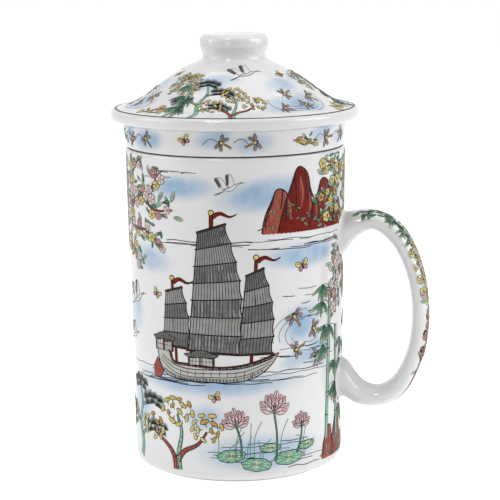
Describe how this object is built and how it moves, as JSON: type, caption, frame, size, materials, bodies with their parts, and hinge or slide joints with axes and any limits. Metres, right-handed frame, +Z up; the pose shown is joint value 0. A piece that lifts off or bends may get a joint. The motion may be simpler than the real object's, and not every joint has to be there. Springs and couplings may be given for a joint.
{
  "type": "lidded tea mug with infuser",
  "caption": "Tall porcelain mug with a loop handle, a lift-out perforated infuser whose collar sits on the mug's rim, and a domed lift-off lid with a knob.",
  "frame": {"origin": "on the mug's axis, in the plane that the foot ring stands on", "axes": "+Z up along the mug's axis, +X from the axis towards the handle, +Y across the handle's plane"},
  "size_m": [0.1132, 0.0878, 0.1538],
  "materials": {
    "printed_porcelain": "white gloss glaze with fired colour prints",
    "plain_porcelain": "white gloss glaze"
  },
  "bodies": {
    "mug": {"mug_body": "printed_porcelain", "mug_handle": "printed_porcelain"},
    "infuser": {"infuser": "printed_porcelain"},
    "lid": {"lid": "printed_porcelain", "lid_knob": "plain_porcelain"}
  },
  "joints": [
    {"name": "infuser_lift", "type": "slide", "parent": "mug", "child": "infuser", "axis": [0, 0, 1], "range_m": [0, 0.075]},
    {"name": "lid_lift", "type": "slide", "parent": "infuser", "child": "lid", "axis": [0, 0, 1], "range_m": [0, 0.05]}
  ]
}
